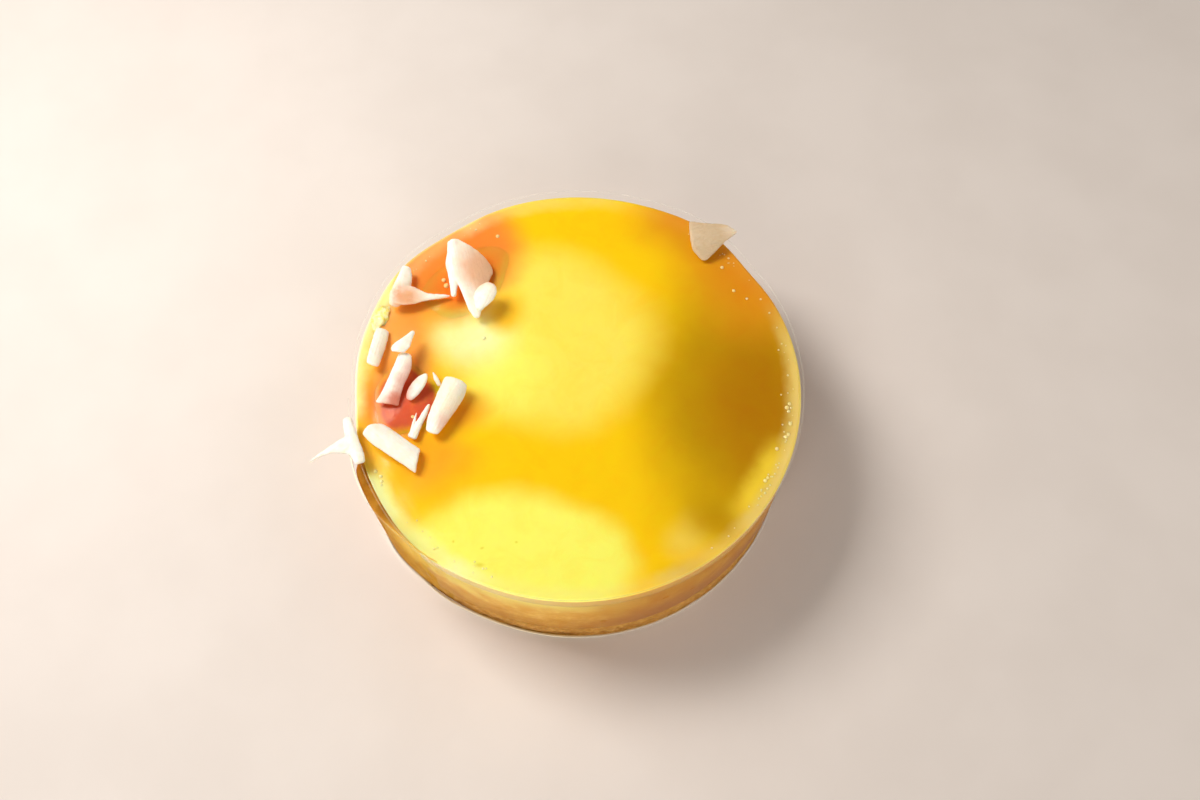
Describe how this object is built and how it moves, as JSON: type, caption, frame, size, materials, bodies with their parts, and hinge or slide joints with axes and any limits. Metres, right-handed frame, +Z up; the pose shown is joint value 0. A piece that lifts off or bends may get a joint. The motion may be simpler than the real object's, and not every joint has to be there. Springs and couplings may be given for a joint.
{
  "type": "mousse cake",
  "caption": "Small round mango mousse cake with a marbled mirror glaze in a clear film collar, topped with red jam and white chocolate shavings.",
  "frame": {"origin": "centre of the cake's flat underside, on the axis of its ring", "axes": "+Z up out of the glaze, -Y the front of the cake, +X to the right seen from the front"},
  "size_m": [0.106, 0.0996, 0.0363],
  "materials": {
    "sponge": "golden-brown baked sponge crumb",
    "mousse": "smooth pale mango mousse",
    "mirror_glaze": "wet mirror gloss, lemon marbled with orange",
    "clear_film": "clear glossy film",
    "red_jam": "wet red jam",
    "orange_gel": "wet orange-red gel",
    "white_chocolate": "waxy satin white chocolate"
  },
  "bodies": {
    "root": {"sponge_base": "sponge", "mousse": "mousse", "mirror_glaze": "mirror_glaze", "film_collar": "clear_film", "jam_dab": "red_jam", "gel_pool": "orange_gel", "shaving_spike": "white_chocolate", "shaving_stick": "white_chocolate", "shaving_rim_strip": "white_chocolate", "shaving_small_leaf": "white_chocolate", "shaving_long_leaf": "white_chocolate", "shaving_bird": "white_chocolate", "shaving_half_tube": "white_chocolate", "shaving_half_pipe": "white_chocolate", "shaving_rim_flake": "white_chocolate", "shaving_wide_plate": "white_chocolate", "shaving_round_curl": "white_chocolate", "shaving_overhang": "white_chocolate", "shaving_far_flake": "white_chocolate"}
  },
  "joints": []
}
